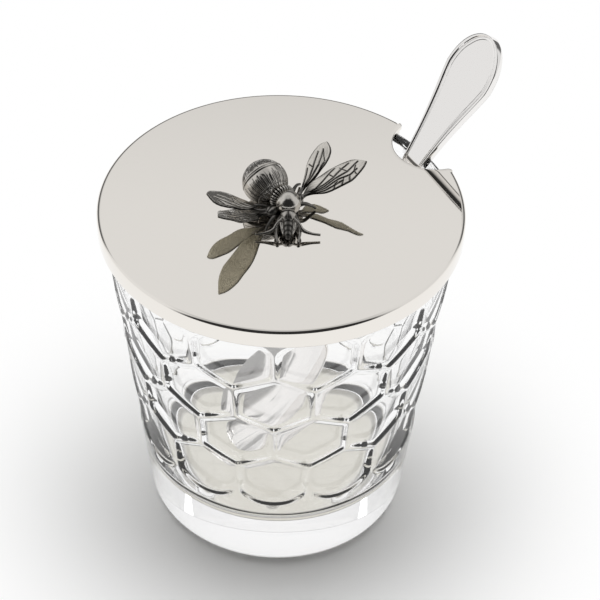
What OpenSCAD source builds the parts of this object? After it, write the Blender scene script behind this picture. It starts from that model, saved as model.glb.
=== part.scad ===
// Honey pot: a honeycomb-cut glass, a pressed metal cap with a notch for the spoon,
// a cast bee on the cap and a long spoon. Millimetres, +Z up, with the origin at the
// centre of the glass's foot.

/* [Glass] */
// Height of the glass's rim above the table
pot_h = 93; // [88:1:110]
// Thickness of the wall at the rim
rim_wall = 3.1; // [2.8:0.1:3.6]
// Height of the plain band at the rim
band_h = 5; // [3:0.5:6]
// Radius that the outer wall would reach at the table
foot_r = 33.4; // [32:0.2:36]
// Rounding of the foot's edge
foot_round = 5; // [3:0.5:6]
// Thickness of the solid base
base_t = 15; // [12:0.5:18]
// Thickness of the wall at the floor of the pot
floor_wall = 4.1; // [3.8:0.1:5]
// Rounding between the inner wall and the floor
floor_round = 7; // [4:0.5:10]

/* [Honeycomb] */
// Facets in one row
cell_count = 13; // [11:1:15]
// Rows of facets
cell_rows = 4; // [2:1:4]
// Distance from one row to the next
row_pitch = 15; // [14:0.5:16]
// From the plain band down to the middle of the top row
top_row_drop = 7.5; // [6.5:0.5:9]
// Radius of the wheel that grinds a facet
wheel_r = 33; // [26:1:36]
// Depth of a facet at its middle
cell_depth = 1.45; // [1:0.05:1.7]
// Direction of the first facet of the top row
cell_az = -77.5; // [-90:0.5:-60]

/* [Lid] */
// Outer radius of the cap, which the glass follows
lid_r = 45; // [43:0.5:47]
// Play between the inside of the cap's skirt and the glass's plain band
lid_play = 0.6; // [0.4:0.1:1]
// Thickness of the cap's top
lid_t = 1.2; // [1:0.1:1.6]
// Thickness of the cap's skirt
skirt_t = 1; // [0.8:0.1:1.1]
// Height of the skirt, from its hem to the top of the cap
skirt_h = 5; // [4:0.5:7]
// Rounding of the cap's edge
edge_round = 1; // [0.4:0.1:1.1]
// Gap between the rim and the cap, so that they stay separate solids
lid_gap = 0.2; // [0.1:0.1:0.4]
// Radius of the spoon notch
notch_r = 10.3; // [10:0.1:11]
// How far the notch's middle lies outside the cap's edge
notch_out = 0.8; // [0.4:0.1:1]
// Direction of the notch
notch_az = 33.9; // [30:0.5:36]

/* [Spoon] */
// Overall length of the spoon
spoon_len = 130; // [124:1:140]
// Width of the handle near its end
handle_w = 17; // [14:0.5:18]
// Length of the handle's rounded nose
nose_len = 11.5; // [9:0.5:14]
// Distance over which the handle narrows
taper_len = 19; // [16:1:20]
// Width of the neck
neck_w = 4.2; // [3.8:0.2:4.4]
// Thickness of the handle
handle_t = 2.1; // [1.6:0.1:2.3]
// Length of the bowl
bowl_len = 43; // [38:1:46]
// Width of the bowl
bowl_w = 25; // [22:0.5:27]
// Depth of the bowl
bowl_depth = 5; // [4:0.5:6]
// Thickness of the bowl
bowl_t = 1.2; // [1:0.1:1.5]
// Set-back of the neck behind the handle's face
neck_drop = 2.2; // [1:0.2:3]
// How far the bowl's tip comes forward again
tip_lift = 2.6; // [1:0.2:4]
// Lean of the spoon from upright
spoon_lean = 33.8; // [32:0.2:34.6]
// Direction in which the spoon leans
spoon_az = 30; // [29.5:0.5:33]
// Gap between the handle's back and the inner edge of the rim
rest_gap = 0.5; // [0.3:0.1:0.8]
// Gap between the bowl's tip and the floor of the pot
floor_gap = 0.6; // [0.3:0.1:1]

/* [Bee] */
// Centre of the bee's thorax on the cap, left to right
bee_x = 1.6; // [-2:0.1:3]
// Centre of the bee's thorax on the cap, front to back
bee_y = -4.7; // [-6:0.1:-2]
// Direction in which the head points
bee_az = -54; // [-70:1:-40]
// Radius of the thorax
thorax_r = 3.1; // [2.8:0.1:3.4]
// Height of the thorax's centre above the cap
thorax_z = 4.9; // [4.5:0.1:5.4]
// Radius of the abdomen
abdomen_r = 5.7; // [5.4:0.1:6]
// Distance from the thorax's centre back to the abdomen's
abdomen_back = 8.7; // [8.5:0.1:9.2]
// Radius of the head
head_r = 2.1; // [1.9:0.1:2.4]
// Distance from the thorax's centre forward to the head's
head_fwd = 3.5; // [3.3:0.1:3.8]
// Height of the head's centre above the cap
head_z = 3.6; // [3.4:0.1:4]
// Thickness of a wing
wing_t = 0.7; // [0.5:0.1:0.9]
// Length of the left forewing
forewing_left_len = 17.8; // [16:0.2:19]
// Length of the right forewing
forewing_right_len = 18.8; // [17:0.2:20]
// Length of the left hindwing
hindwing_left_len = 14.6; // [13:0.2:16]
// Length of the right hindwing
hindwing_right_len = 15; // [13:0.2:16]
// Greatest width of a forewing
forewing_w = 6.2; // [5.4:0.2:6.6]
// Greatest width of a hindwing
hindwing_w = 4.8; // [4:0.2:5.2]
// Distance of a wing's root from the body's middle line
wing_out = 5.9; // [5.6:0.1:6.4]
// Height of a wing's root above the cap
wing_z = 2.8; // [2.6:0.1:3.2]
// Thickness of a leg
leg_d = 0.8; // [0.6:0.1:1]

/* [Fixing] */
// Diameter of the screw's shank
screw_d = 3; // [2.5:0.5:3]
// Diameter of the screw's head
screw_head_d = 5.6; // [5:0.2:7]
// Thickness of the screw's head
screw_head_t = 1.6; // [1.2:0.1:2]
// Length of thread inside the bee
thread_len = 3; // [2:0.2:3.4]

/* [Hidden] */

fine = 96;
medium = 48;
small = 16;
bar_sides = 12;
glass_colour = [0.84, 0.9, 0.93];
lid_colour = [0.85, 0.85, 0.83];
bee_colour = [0.38, 0.37, 0.36];
wing_colour = [0.68, 0.66, 0.62];
steel_colour = [0.6, 0.6, 0.62];
spoon_colour = [0.8, 0.8, 0.8];

// The glass's outer wall is a cone that leans outward up to the plain band, which the cap fits over.
rim_r = lid_r - skirt_t - lid_play;
band_z = pot_h - band_h;
wall_slope = (rim_r - foot_r) / band_z;
wall_lean = atan(wall_slope);
function wall_r(z) = foot_r + wall_slope * z;

// The rim is a full round, so its radius is half the wall.
rim_round = rim_wall / 2;
rim_in_r = rim_r - rim_wall;
floor_r = wall_r(base_t) - floor_wall;
rim_mid_z = pot_h - rim_round;
cavity_slope = (rim_in_r - floor_r) / (rim_mid_z - base_t);
cavity_lean = atan(cavity_slope);
function cavity_r(z) = floor_r + cavity_slope * (z - base_t);

// A facet's wheel reaches past the ridges on both sides of it.
cell_pitch = 360 / cell_count;
wheel_len = 2.7 * rim_r * sin(cell_pitch / 2);

notch_rho = lid_r + notch_out;
lid_top = pot_h + lid_gap + lid_t;
lid_under = lid_top - lid_t;
hem_z = lid_top - skirt_h;
screw_clear = 0.2;
thread_gap = 0.05;
bore_spare = 0.3;
cut_over = 1;

// The spoon's back leans on the inner edge of the rim, and its tip is on the floor.
spoon_z = pot_h;
spoon_rho = rim_in_r - (handle_t + rest_gap) / cos(spoon_lean) + rim_round * 0.35;
spoon_side = 0.5;
bowl_tip = -(spoon_z - base_t - floor_gap - bowl_t * sin(spoon_lean)) / cos(spoon_lean);
neck_start = 48;
bowl_start = spoon_len - bowl_len;
thin_ahead = 6;
thin_run = 14;
taper_step = 2.5;
taper_end = 40;
neck_step = 5;

// Each pair of wings is let into a boss beside the thorax, the forewing ahead of the hindwing.
shoulder_x = -1.5;
shoulder_out = 3.6;
shoulder_z = 3;
shoulder_r = 1.7;
root_back = -1;
root_step = 0.6;
tang_r = 0.5;
root_swell = 1.1;
abdomen_side = -0.7;
abdomen_lift = 0.05;
joint_swell = 1.2;
collar_x = -2.7;
collar_r = 2.5;
collar_round = 0.8;
foot_pad_r = 2.6;
foot_pad_h = 3.2;

// Forward sweep, upward bend and roll of each wing. They are bent by hand and differ.
forewing_left_bend = [25, 30, 20];
forewing_right_bend = [14, 30.4, 3];
hindwing_left_bend = [-23, 32.2, -3];
hindwing_right_bend = [-25, 28.6, 2];

// The head is turned to its right and droops. The front legs and the antennae turn with it.
head_turn = -35.5;
head_droop = 29;
snout_r = 0.6;
snout_len = 5.6;
snout_share = 0.8;

// Hip, knee and foot of the left front leg and the left antenna, about the turned head's line.
front_leg = [[2, 1.7, 2.6], [5.6, 2.6, 1.5], [9.6, 2.5, 0.55]];
antenna = [[4.6, 1.2, 4.4], [6.9, 3.4, 2.2], [7.4, 7.6, 1.2]];
// The same of the two other left legs, about the body's line. The right ones mirror them.
rear_legs = [
    [[-0.2, 2.3, 2], [0.5, 5, 2.5], [1.2, 7.4, 0.55]],
    [[-1.7, 1.7, 1.7], [-5.6, 5.8, 3.4], [-8.4, 9.6, 0.55]]
];

function unit_step(x) = let (c = min(1, max(0, x))) c * c * (3 - 2 * c);

// A straight bar from one point to another.
module rod(p, q, r, sides = small) {
    v = q - p;
    translate(p)
        rotate([0, acos(v.z / norm(v)), atan2(v.y, v.x)])
            cylinder(r = r, h = norm(v), $fn = sides);
}

module ring(major_r, minor_r) {
    rotate_extrude($fn = fine)
        translate([major_r, 0])
            circle(r = minor_r, $fn = medium);
}

// Puts a thing modelled about the bee's own middle on the cap.
module on_bee() {
    translate([bee_x, bee_y, lid_top])
        rotate([0, 0, bee_az])
            children();
}

// Half of the section through the glass, turned about the Z axis: solid foot, leaning wall,
// plain band and full-round rim.
module outer_section() {
    round_r = wall_r(foot_round) - foot_round / cos(wall_lean);
    tangent_z = foot_round * (1 - sin(wall_lean));
    polygon([[0, 0], [round_r, 0], [wall_r(tangent_z), tangent_z], [rim_r, band_z],
             [rim_r, rim_mid_z], [0, rim_mid_z]]);
    translate([round_r, foot_round])
        circle(r = foot_round, $fn = fine);
}

module cavity_section() {
    round_z = base_t + floor_round;
    round_r = cavity_r(round_z) - floor_round / cos(cavity_lean);
    tangent_z = round_z - floor_round * sin(cavity_lean);
    polygon([[-cut_over, base_t], [round_r, base_t], [cavity_r(tangent_z), tangent_z],
             [rim_in_r, rim_mid_z], [rim_in_r, pot_h], [-cut_over, pot_h]]);
    translate([round_r, round_z])
        circle(r = floor_round, $fn = fine);
}

module glass_section() {
    difference() {
        outer_section();
        cavity_section();
    }
    translate([rim_r - rim_round, rim_mid_z])
        circle(r = rim_round, $fn = fine);
}

// Each facet is ground by a wheel whose axle is level and square to the wall's normal.
module facets() {
    for (row = [0 : cell_rows - 1]) {
        z = band_z - top_row_drop - row * row_pitch;
        away = wheel_r - cell_depth;
        for (i = [0 : cell_count - 1]) {
            rotate([0, 0, cell_az + (i + (row % 2) / 2) * cell_pitch])
                translate([wall_r(z) + away * cos(wall_lean), 0, z - away * sin(wall_lean)])
                    rotate([90, 0, 0])
                        cylinder(r = wheel_r, h = wheel_len, center = true, $fn = fine);
        }
    }
}

module glass_pot() {
    color(glass_colour)
        difference() {
            rotate_extrude($fn = fine)
                glass_section();
            facets();
        }
}

module lid() {
    color(lid_colour)
        difference() {
            union() {
                translate([0, 0, hem_z])
                    cylinder(r = lid_r, h = skirt_h - edge_round, $fn = fine);
                translate([0, 0, lid_top - edge_round])
                    cylinder(r = lid_r - edge_round, h = edge_round, $fn = fine);
                translate([0, 0, lid_top - edge_round])
                    ring(lid_r - edge_round, edge_round);
            }
            translate([0, 0, hem_z - cut_over])
                cylinder(r = lid_r - skirt_t, h = skirt_h - lid_t + cut_over, $fn = fine);
            rotate([0, 0, notch_az])
                translate([notch_rho, 0, hem_z - cut_over])
                    cylinder(r = notch_r, h = skirt_h + 2 * cut_over, $fn = fine);
            translate([bee_x, bee_y, lid_under - cut_over])
                cylinder(d = screw_d + 2 * screw_clear, h = lid_t + 2 * cut_over, $fn = medium);
        }
}

module bee_screw() {
    color(steel_colour)
        translate([bee_x, bee_y, 0])
            difference() {
                union() {
                    translate([0, 0, lid_under - screw_head_t])
                        cylinder(d = screw_head_d, h = screw_head_t, $fn = medium);
                    translate([0, 0, lid_under])
                        cylinder(d = screw_d, h = lid_t + thread_len, $fn = medium);
                }
                slot_w = 0.8;
                slot_depth = 0.7;
                translate([-screw_head_d, -slot_w / 2, lid_under - screw_head_t - cut_over])
                    cube([2 * screw_head_d, slot_w, slot_depth + cut_over]);
            }
}

module abdomen_ball() {
    translate([-abdomen_back, abdomen_side, abdomen_r + abdomen_lift])
        sphere(r = abdomen_r, $fn = fine);
}

// A round skull that narrows to a long blunt snout.
module head_form() {
    rotate([0, 0, head_turn])
        translate([head_fwd, 0, head_z]) {
            sphere(r = head_r, $fn = medium);
            rotate([0, 90 + head_droop, 0])
                cylinder(r1 = head_r * snout_share, r2 = snout_r, h = snout_len, $fn = medium);
        }
}

// The blind bore that takes the screw, from the bee's foot upward.
module screw_bore() {
    translate([0, 0, -cut_over])
        cylinder(r = screw_d / 2 + thread_gap, h = thread_len + bore_spare + cut_over, $fn = medium);
}

module collar_ring() {
    translate([collar_x, 0, thorax_z])
        rotate([0, 90, 0])
            ring(collar_r, collar_round);
}

// The thorax stands on a round foot that takes the screw, and has a boss for each pair of wings.
module bee_thorax() {
    color(bee_colour)
        on_bee()
            difference() {
                union() {
                    translate([0, 0, thorax_z])
                        sphere(r = thorax_r, $fn = medium);
                    cylinder(r = foot_pad_r, h = foot_pad_h, $fn = medium);
                    for (side = [-1, 1])
                        translate([shoulder_x, side * shoulder_out, shoulder_z])
                            sphere(r = shoulder_r, $fn = medium);
                }
                screw_bore();
                abdomen_ball();
                head_form();
                collar_ring();
            }
}

module bee_collar() {
    color(bee_colour)
        on_bee()
            difference() {
                collar_ring();
                abdomen_ball();
            }
}

module bee_abdomen() {
    color(bee_colour)
        on_bee()
            abdomen_ball();
}

module bee_head() {
    color(bee_colour)
        on_bee()
            difference() {
                head_form();
                screw_bore();
            }
}

// Half-width of a wing at the share u of its length, with its peak at a / (a + b).
function wing_half(u, w, a, b) = w * pow(u, a) * pow(1 - u, b) / (pow(a / (a + b), a) * pow(b / (a + b), b));

// A flat wing along +X, with its leading edge towards -Y and a raised rib along it.
module wing_blank(length, w, nose) {
    steps = 24;
    lead = [for (i = [1 : steps - 1]) let (u = i / steps) [u * length, -wing_half(u, w * 0.46, 1.05, nose)]];
    trail = [for (i = [1 : steps - 1]) let (u = 1 - i / steps) [u * length, wing_half(u, w * 0.54, 1.2, nose)]];
    linear_extrude(height = wing_t, center = true)
        polygon(concat([[0, 0]], lead, [[length, 0]], trail));
}

module left_wing(length, bend, w, nose, step) {
    root = [shoulder_x + root_back + step, wing_out, wing_z];
    translate(root)
        rotate([0, 0, 90 - bend[0]])
            rotate([0, -bend[1], 0])
                rotate([bend[2], 0, 0])
                    wing_blank(length, w, nose);
    // The tang is let into the thorax's boss.
    rod([shoulder_x + step, shoulder_out, shoulder_z], root, tang_r);
    translate(root)
        sphere(r = tang_r * root_swell, $fn = small);
}

forewing_nose = 0.7;
hindwing_nose = 0.5;

module bee_forewing_left() {
    color(wing_colour)
        on_bee()
            left_wing(forewing_left_len, forewing_left_bend, forewing_w, forewing_nose, root_step);
}

module bee_forewing_right() {
    color(wing_colour)
        on_bee()
            mirror([0, 1, 0])
                left_wing(forewing_right_len, forewing_right_bend, forewing_w, forewing_nose, root_step);
}

module bee_hindwing_left() {
    color(wing_colour)
        on_bee()
            left_wing(hindwing_left_len, hindwing_left_bend, hindwing_w, hindwing_nose, -root_step);
}

module bee_hindwing_right() {
    color(wing_colour)
        on_bee()
            mirror([0, 1, 0])
                left_wing(hindwing_right_len, hindwing_right_bend, hindwing_w, hindwing_nose, -root_step);
}

module jointed_bar(points, r) {
    for (i = [0 : len(points) - 2])
        rod(points[i], points[i + 1], r, bar_sides);
    for (i = [1 : len(points) - 1])
        translate(points[i])
            sphere(r = r * joint_swell, $fn = bar_sides);
}

module bee_legs() {
    color(bee_colour)
        on_bee()
            for (side = [0, 1]) {
                rotate([0, 0, head_turn])
                    mirror([0, side, 0])
                        jointed_bar(front_leg, leg_d / 2);
                mirror([0, side, 0])
                    for (leg = rear_legs)
                        jointed_bar(leg, leg_d / 2);
            }
}

module bee_antennae() {
    color(bee_colour)
        on_bee()
            rotate([0, 0, head_turn])
                for (side = [0, 1])
                    mirror([0, side, 0])
                        jointed_bar(antenna, leg_d / 2);
}

// The spoon's half-width at a distance t from the end of its handle.
function handle_half(t) = t < nose_len
    ? handle_w / 2 * sqrt(1 - pow(1 - t / nose_len, 2.2))
    : neck_w / 2 + (handle_w - neck_w) / 2 * exp(-pow((t - nose_len) / taper_len, 1.3));
function bowl_half(s) = bowl_w / 2 * pow(s, 0.6) * pow(1 - s, 0.5) / 0.4686;
function bowl_share(t) = min(1, max(0, (t - bowl_start) / bowl_len));
function spoon_half(t) = let (s = bowl_share(t))
    handle_half(t) * (1 - unit_step(1.6 * s)) + bowl_half(s);
function spoon_set_back(t) = neck_drop * unit_step((t - neck_start) / (bowl_start - neck_start))
    - tip_lift * pow(bowl_share(t), 2);
function spoon_dish(t) = bowl_depth * pow(max(0, sin(180 * bowl_share(t))), 0.8);
function spoon_thick(t) = let (s = unit_step((t - bowl_start + thin_ahead) / thin_run))
    handle_t * (1 - s) + bowl_t * s;

// One ring of the spoon's section: the face from one edge to the other, then the back.
ring_half = 8;
function spoon_ring(t) = let (
        w = spoon_half(t),
        back = spoon_set_back(t),
        dish = spoon_dish(t),
        thick = spoon_thick(t),
        z = bowl_tip + spoon_len - t)
    [for (side = [0, 1]) for (i = [0 : ring_half])
        let (k = side == 0 ? 2 * i / ring_half - 1 : 1 - 2 * i / ring_half)
            [back + dish * (1 - k * k) + side * thick, k * w, z]];

function spoon_stations() = concat(
    [for (k = [1 : 6]) nose_len * pow(k / 6, 2)],
    [for (t = [nose_len + taper_step : taper_step : taper_end]) t],
    [for (t = [taper_end + 0.8 * neck_step : neck_step : bowl_start - 0.6 * neck_step]) t],
    [for (k = [0 : 22]) bowl_start + bowl_len * (0.02 + 0.972 * (1 - pow(1 - k / 22, 1.5)))]);

module spoon() {
    stations = spoon_stations();
    n = 2 * (ring_half + 1);
    points = [for (t = stations) each spoon_ring(t)];
    last = (len(stations) - 1) * n;
    sides = [for (j = [0 : len(stations) - 2]) for (i = [0 : n - 1])
        let (a = j * n + i, b = j * n + (i + 1) % n)
            each [[a, b, b + n], [a, b + n, a + n]]];
    caps = [for (i = [0 : ring_half - 1]) let (c = n - 1 - i, e = last)
        each [[i, c, c - 1], [i, c - 1, i + 1], [e + i, e + c - 1, e + c], [e + i, e + i + 1, e + c - 1]]];
    color(spoon_colour)
        rotate([0, 0, spoon_az])
            translate([spoon_rho, spoon_side, spoon_z])
                rotate([0, spoon_lean, 0])
                    polyhedron(points, concat(sides, caps), convexity = 6);
}

glass_pot();
lid();
bee_screw();
bee_thorax();
bee_collar();
bee_abdomen();
bee_head();
bee_forewing_left();
bee_forewing_right();
bee_hindwing_left();
bee_hindwing_right();
bee_legs();
bee_antennae();
spoon();
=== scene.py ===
# %% [markdown]
# # A honey pot, its cap, its bee and its spoon
# The solids come from the CAD frame and already have the right sizes and places. This lesson dresses
# them: each piece is worked out again as a fine surface in numpy, in millimetres, and then gets the
# finish of the real material. We start with the frame, because every piece has to fit it.

# %% Load the frame
import math

import bmesh
import bpy
import numpy as np
from mathutils import Matrix


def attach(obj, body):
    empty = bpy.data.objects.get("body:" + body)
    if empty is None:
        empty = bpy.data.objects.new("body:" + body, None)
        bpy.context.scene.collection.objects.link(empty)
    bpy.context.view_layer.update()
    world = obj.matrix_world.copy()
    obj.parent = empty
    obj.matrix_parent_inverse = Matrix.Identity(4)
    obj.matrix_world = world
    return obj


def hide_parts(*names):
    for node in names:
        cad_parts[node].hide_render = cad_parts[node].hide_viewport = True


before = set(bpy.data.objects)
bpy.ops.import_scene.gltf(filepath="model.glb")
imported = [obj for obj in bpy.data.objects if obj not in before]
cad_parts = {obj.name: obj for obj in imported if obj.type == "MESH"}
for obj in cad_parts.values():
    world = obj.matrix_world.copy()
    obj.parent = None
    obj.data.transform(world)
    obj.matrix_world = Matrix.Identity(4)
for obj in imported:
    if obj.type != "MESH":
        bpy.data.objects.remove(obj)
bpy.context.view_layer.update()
MM = 0.001
print("nodes:", sorted(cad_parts))

# %% [markdown]
# ## Meshes from arrays
# A surface is a grid of points, ring after ring. One helper joins neighbouring rings with quads and
# closes the two ends with a fan, another writes the arrays into a mesh at one stroke. A closed shell
# whose signed volume is negative is inside out, so its faces are turned round.


# %% Helpers for meshes
def ring_faces(rings, around):
    """Quads between `rings` closed rings of `around` points; corner (i, j) is point i * around + j."""
    i, j = np.meshgrid(np.arange(rings - 1), np.arange(around), indexing="ij")
    k = (j + 1) % around
    quads = np.stack([i * around + j, i * around + k, (i + 1) * around + k, (i + 1) * around + j], -1)
    return quads.reshape(-1, 4)


def fan_faces(centre, start, around):
    """Triangles from one centre point to each side of a closed ring that begins at point `start`."""
    j = np.arange(around)
    return np.stack([np.full(around, centre), start + j, start + (j + 1) % around], -1)


def skin_faces(rings, around):
    """Quads of a tube of rings, and the fans over its ends, whose middles are the two points after it."""
    after = rings * around
    low, high = fan_faces(after, 0, around)[:, ::-1], fan_faces(after + 1, after - around, around)
    return ring_faces(rings, around), np.concatenate([low, high])


def signed_volume(points, faces):
    """Sum over the faces, cut into triangles, of a . (b x c) / 6."""
    total = 0.0
    for k in range(1, faces.shape[1] - 1):
        a, b, c = points[faces[:, 0]], points[faces[:, k]], points[faces[:, k + 1]]
        total += np.einsum("ij,ij->i", a, np.cross(b, c)).sum() / 6
    return total


def make_mesh(name, points, groups, attributes=None, closed=True):
    """Writes points (mm) and groups of quads or triangles into a new object that sits at the origin."""
    points = np.asarray(points, float)
    if closed and sum(signed_volume(points, g) for g in groups) < 0:
        groups = [g[:, ::-1] for g in groups]
    mesh = bpy.data.meshes.new(name)
    mesh.vertices.add(len(points))
    mesh.vertices.foreach_set("co", (points * MM).ravel())
    sizes = np.concatenate([np.full(len(g), g.shape[1]) for g in groups])
    corners = np.concatenate([g.ravel() for g in groups])
    mesh.loops.add(len(corners))
    mesh.loops.foreach_set("vertex_index", corners.astype(np.int32))
    mesh.polygons.add(len(sizes))
    mesh.polygons.foreach_set("loop_start", (np.cumsum(sizes) - sizes).astype(np.int32))
    mesh.polygons.foreach_set("use_smooth", np.ones(len(sizes), bool))
    mesh.update(calc_edges=True)
    mesh.validate()
    for key, values in (attributes or {}).items():
        layer = mesh.attributes.new(key, "FLOAT", "POINT")
        layer.data.foreach_set("value", np.asarray(values, np.float32).ravel())
    piece = bpy.data.objects.new(name, mesh)
    bpy.context.scene.collection.objects.link(piece)
    print(f"{name}: {len(points)} points, {len(sizes)} faces")
    return piece


def with_ends(values):
    """A ring's values for all points, and after them the mean of the first ring and of the last."""
    flat = values.reshape(-1, *values.shape[2:])
    return np.concatenate([flat, values[:1].mean(1), values[-1:].mean(1)])


def shell(name, rings, attributes=None):
    """A closed skin over an array of rings (ring, point, xyz), with a fan over each end."""
    extra = {key: with_ends(values) for key, values in (attributes or {}).items()}
    return make_mesh(name, with_ends(rings), skin_faces(*rings.shape[:2]), extra)


def weld(piece, apart_mm=0.0001):
    """Merges points that lie on each other, and with them the faces that have no area."""
    work = bmesh.new()
    work.from_mesh(piece.data)
    bmesh.ops.remove_doubles(work, verts=work.verts, dist=apart_mm * MM)
    work.to_mesh(piece.data)
    work.free()
    print(piece.name, "welded to", len(piece.data.vertices), "points")


def smooth_step(x):
    """0 below 0, 1 above 1 and 3x^2 - 2x^3 between."""
    c = np.clip(x, 0, 1)
    return c * c * (3 - 2 * c)


def groove(x, width):
    """exp(-(x / w)^2), the section of a soft groove or ridge."""
    return np.exp(-(x / width) ** 2)


# %% [markdown]
# ## The camera
# The photograph was taken with a long lens from the front and above. Its distance, height and turn were
# fitted to the cap's ellipse, the foot and the spoon, so every piece lands where the photograph has it.

# %% Camera
camera_back, camera_height = 410.33, 440.20
yaw, pitch, roll = (math.radians(a) for a in (0.7154, 42.5663, 1.5465))
ahead = np.array([math.sin(yaw) * math.cos(pitch), math.cos(yaw) * math.cos(pitch), -math.sin(pitch)])
level = np.cross(ahead, [0, 0, 1])
level /= np.linalg.norm(level)
upward = np.cross(level, ahead)
right = level * math.cos(roll) + upward * math.sin(roll)
over = -level * math.sin(roll) + upward * math.cos(roll)
lens = bpy.data.cameras.new("camera")
lens.lens = 132
lens.sensor_width = 36
camera = bpy.data.objects.new("camera", lens)
turned = np.eye(4)
turned[:3, 0], turned[:3, 1], turned[:3, 2] = right, over, -ahead
turned[:3, 3] = [0, -camera_back * MM, camera_height * MM]
camera.matrix_world = Matrix(turned.tolist())
bpy.context.scene.collection.objects.link(camera)
bpy.context.scene.camera = camera
print("camera at", [round(v, 3) for v in turned[:3, 3]])

# %% [markdown]
# ## The glass
# The pot is a thick tumbler of clear crystal that leans outward to a plain band. Its honeycomb is
# ground: a wheel cuts a hollow, and where neighbouring hollows meet they leave ridges in the shape of
# hexagons. Long polishing leaves the cells shallow, the ridges round and the outline almost straight.
# So the wheels only say where the ridges run, and the radius is that of a cone less a shallow cell.

# %% Sizes of the glass
pot_h, rim_r, rim_wall, band_h = 93.0, 43.4, 3.1, 5.0
foot_r, foot_round, base_t, floor_wall, floor_round = 33.4, 5.0, 15.0, 4.1, 7.0
cell_count, cell_rows, row_pitch, top_row_drop = 13, 4, 15.0, 7.5
wheel_r, cell_depth, cell_az = 33.0, 1.45, math.radians(-77.5)
ridge_soft, ridge_width, cell_sink, dish_share = 0.12, 0.5, 0.42, 0.3
band_z = pot_h - band_h
wall_slope = (rim_r - foot_r) / band_z
wall_lean = math.atan(wall_slope)
rim_round = rim_wall / 2
rim_in_r = rim_r - rim_wall
rim_mid_z = pot_h - rim_round
floor_r = foot_r + wall_slope * base_t - floor_wall
cavity_slope = (rim_in_r - floor_r) / (rim_mid_z - base_t)
cavity_lean = math.atan(cavity_slope)


# %% The cut wall
def soft_least(values, softness):
    """-s * ln(sum(exp(-v / s))): the least of the values, rounded over about s."""
    lowest = values.min(0)
    return lowest - softness * np.log(np.exp(-(values - lowest) / softness).sum(0))


def cut_wall(angle, z):
    """Outer radius at an angle and a height: a cone with shallow cells and a rounded ridge round each.

    A wheel's axle is level, at distance d and height h, so its surface is at d - sqrt(R^2 - (z - h)^2)
    along the facet's own direction, and at that over the cosine of the angle to it elsewhere. Where the
    two deepest wheels are equal there is a ridge, exp(-(difference / width)^2) high. Polishing left the
    cells shallow: each sinks a little between its ridges, and keeps a small share of the wheel's dish."""
    pitch_angle = 2 * math.pi / cell_count
    radii = [np.minimum(foot_r + wall_slope * z, rim_r) + 0 * angle]
    reach = wheel_r - cell_depth
    for row in range(cell_rows):
        row_z = band_z - top_row_drop - row * row_pitch
        axle_r = foot_r + wall_slope * row_z + reach * math.cos(wall_lean)
        axle_z = row_z - reach * math.sin(wall_lean)
        depth = np.sqrt(np.clip(wheel_r ** 2 - (z - axle_z) ** 2, 0, None))
        start = cell_az + (row % 2) / 2 * pitch_angle
        turn = (angle - start + pitch_angle / 2) % pitch_angle - pitch_angle / 2
        for off in (turn, turn - np.copysign(pitch_angle, turn)):
            radii.append((axle_r - depth) / np.cos(off))
    cone = radii[0]
    wheels = np.stack(np.broadcast_arrays(*radii[1:]))
    cut = cone - soft_least(np.stack(np.broadcast_arrays(*radii)), ridge_soft)
    lowest, second = np.partition(wheels, 1, axis=0)[:2]
    inside = smooth_step((cone - lowest) / 0.3)
    return cone - inside * cell_sink * (1 - groove(second - lowest, ridge_width)) - dish_share * cut


def glass_rings(columns_per_half):
    """Rings from the middle of the foot, up the cut wall, over the rim and down to the floor."""
    half = np.arange(columns_per_half) / columns_per_half
    half = half - 0.35 * np.sin(4 * np.pi * half) / (4 * np.pi)  # columns gather where ridges meet
    angle = cell_az + (np.arange(2 * cell_count)[:, None] + half[None]).ravel() * math.pi / cell_count
    foot_mid = foot_r + wall_slope * foot_round - foot_round / math.cos(wall_lean)
    bend = np.linspace(-math.pi / 2, -wall_lean, 10)
    profile = [(0.4, 0.0), (foot_mid * 0.5, 0.0), (foot_mid * 0.9, 0.0)]
    profile += [(foot_mid + foot_round * math.cos(b), foot_round + foot_round * math.sin(b)) for b in bend]
    wall_z = np.concatenate([np.arange(8, 26, 3), np.arange(26, band_z + 2, 0.42), [90.6, rim_mid_z]])
    rim = np.linspace(0, math.pi, 13)[1:]
    top = [(rim_r - rim_round + rim_round * math.cos(b), rim_mid_z + rim_round * math.sin(b)) for b in rim]
    floor_mid_z = base_t + floor_round
    floor_mid = floor_r + cavity_slope * floor_round - floor_round / math.cos(cavity_lean)
    inner_z = np.linspace(rim_mid_z, floor_mid_z, 12)[1:-1]
    inner = [(floor_r + cavity_slope * (z - base_t), z) for z in inner_z]
    bend = np.linspace(-cavity_lean, -math.pi / 2, 12)
    inner += [(floor_mid + floor_round * math.cos(b), floor_mid_z + floor_round * math.sin(b)) for b in bend]
    inner += [(floor_mid * 0.8, base_t), (floor_mid * 0.4, base_t), (0.4, base_t)]
    before, after = np.array(profile), np.array(top + inner)
    radius = np.concatenate([np.repeat(before[:, :1], len(angle), 1),
                             cut_wall(angle[None], wall_z[:, None]),
                             np.repeat(after[:, :1], len(angle), 1)])
    height = np.concatenate([before[:, 1], wall_z, after[:, 1]])[:, None] + 0 * angle[None]
    return np.stack([radius * np.cos(angle), radius * np.sin(angle), height], -1)


glass = shell("glass_cut", glass_rings(18))
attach(glass, "pot")
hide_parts("glass_pot")

# %% [markdown]
# ## The cap
# The cap is a disc of thin metal whose edge is turned down into a short skirt, with a round bite for the
# spoon. Its outline is one closed line: the long arc of the edge, a small fillet at each corner of the
# bite and the arc of the bite. A profile is carried along it, inwards by the line's own normal, and the
# skirt is simply left away along the bite. The flat top must be truly flat, or its mirror image
# bends, so a ring of points just inside the rounding keeps the bend out of it.

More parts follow.
